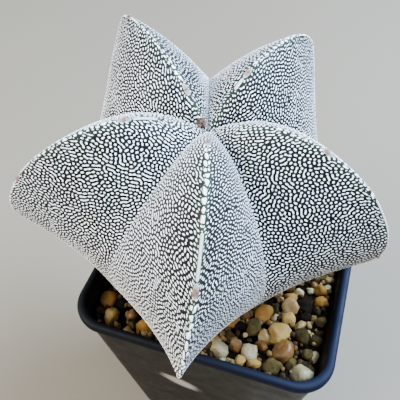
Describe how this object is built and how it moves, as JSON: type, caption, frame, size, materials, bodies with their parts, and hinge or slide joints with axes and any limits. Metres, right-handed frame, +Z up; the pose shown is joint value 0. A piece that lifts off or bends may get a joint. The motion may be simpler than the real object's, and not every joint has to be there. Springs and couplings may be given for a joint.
{
  "type": "potted bishop's cap cactus",
  "caption": "Star-shaped bishop's cap cactus with broad ribs and white-flecked skin, in a square tapered plastic nursery pot dressed with gravel; a small houseplant that stands on a flat base.",
  "frame": {"origin": "the middle of the pot's underside, on the level foot cross that the pot stands on", "axes": "+Z up through the plant, +X and +Y square to the pot's straight sides; -Y is the side towards the viewer of the picture"},
  "size_m": [0.0994, 0.1119, 0.1413],
  "materials": {
    "pot_plastic": "satin",
    "potting_mix": "matte",
    "gravel_stone": "matte",
    "cactus_skin": "matte"
  },
  "bodies": {
    "root": {"pot": "pot_plastic", "potting_mix": "potting_mix", "gravel": "gravel_stone", "cactus": "cactus_skin"}
  },
  "joints": []
}
